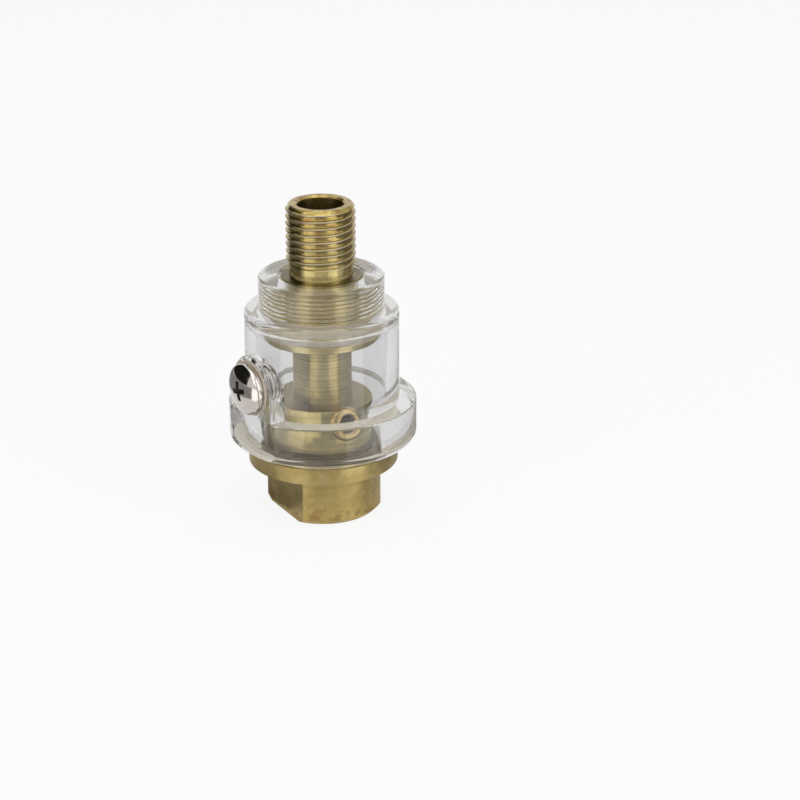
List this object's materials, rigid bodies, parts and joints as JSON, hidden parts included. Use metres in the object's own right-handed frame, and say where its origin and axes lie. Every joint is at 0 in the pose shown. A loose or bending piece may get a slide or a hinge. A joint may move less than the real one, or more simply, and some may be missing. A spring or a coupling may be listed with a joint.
{
  "type": "air line lubricator",
  "caption": "Small in-line compressed air lubricator: brass threaded inlet and outlet joined through a clear oil bowl with a side filler screw.",
  "frame": {"origin": "middle of the inlet's open end, on the air line's axis", "axes": "+Z along the air line towards the outlet, -Y towards the filler screw"},
  "size_m": [0.036, 0.0376, 0.061],
  "materials": {
    "brass_turned": "satin, fine turning marks",
    "brass_bright": "bright",
    "clear_plastic": "clear, glossy",
    "pale_seal": "matt",
    "plated_screw": "bright plated",
    "fibre_washer": "matt",
    "black_rubber": "matt",
    "felt": "felt"
  },
  "bodies": {
    "housing": {"inlet_body": "brass_turned", "outlet_stem": "brass_turned", "throat_sleeve": "brass_turned", "bowl": "clear_plastic", "lower_gasket": "pale_seal", "upper_seal": "pale_seal", "oil_wick": "felt"},
    "filler_travel": {"filler_washer": "fibre_washer"},
    "filler_turn": {"filler_screw": "plated_screw"},
    "metering_travel": {"metering_ring": "black_rubber"},
    "metering_turn": {"metering_screw": "brass_bright"}
  },
  "joints": [
    {"name": "filler_screw_out", "type": "slide", "parent": "housing", "child": "filler_travel", "axis": [0, -1, 0], "range_m": [0, 0.0055]},
    {"name": "filler_screw_spin", "type": "hinge", "parent": "filler_travel", "child": "filler_turn", "pos_m": [0, -0.0165, 0.028], "axis": [0, -1, 0], "range_deg": [0, 2475.5]},
    {"name": "metering_screw_out", "type": "slide", "parent": "housing", "child": "metering_travel", "axis": [0.9816, -0.1908, 0], "range_m": [0, 0.0005]},
    {"name": "metering_screw_spin", "type": "hinge", "parent": "metering_travel", "child": "metering_turn", "pos_m": [0.00891, -0.00173, 0.0205], "axis": [0.9816, -0.1908, 0], "range_deg": [0, 257.5]}
  ],
  "couplings": [
    {"joint": "filler_screw_spin", "follows": "filler_screw_out", "rad_per_m": 7854},
    {"joint": "metering_screw_spin", "follows": "metering_screw_out", "rad_per_m": 8976}
  ]
}
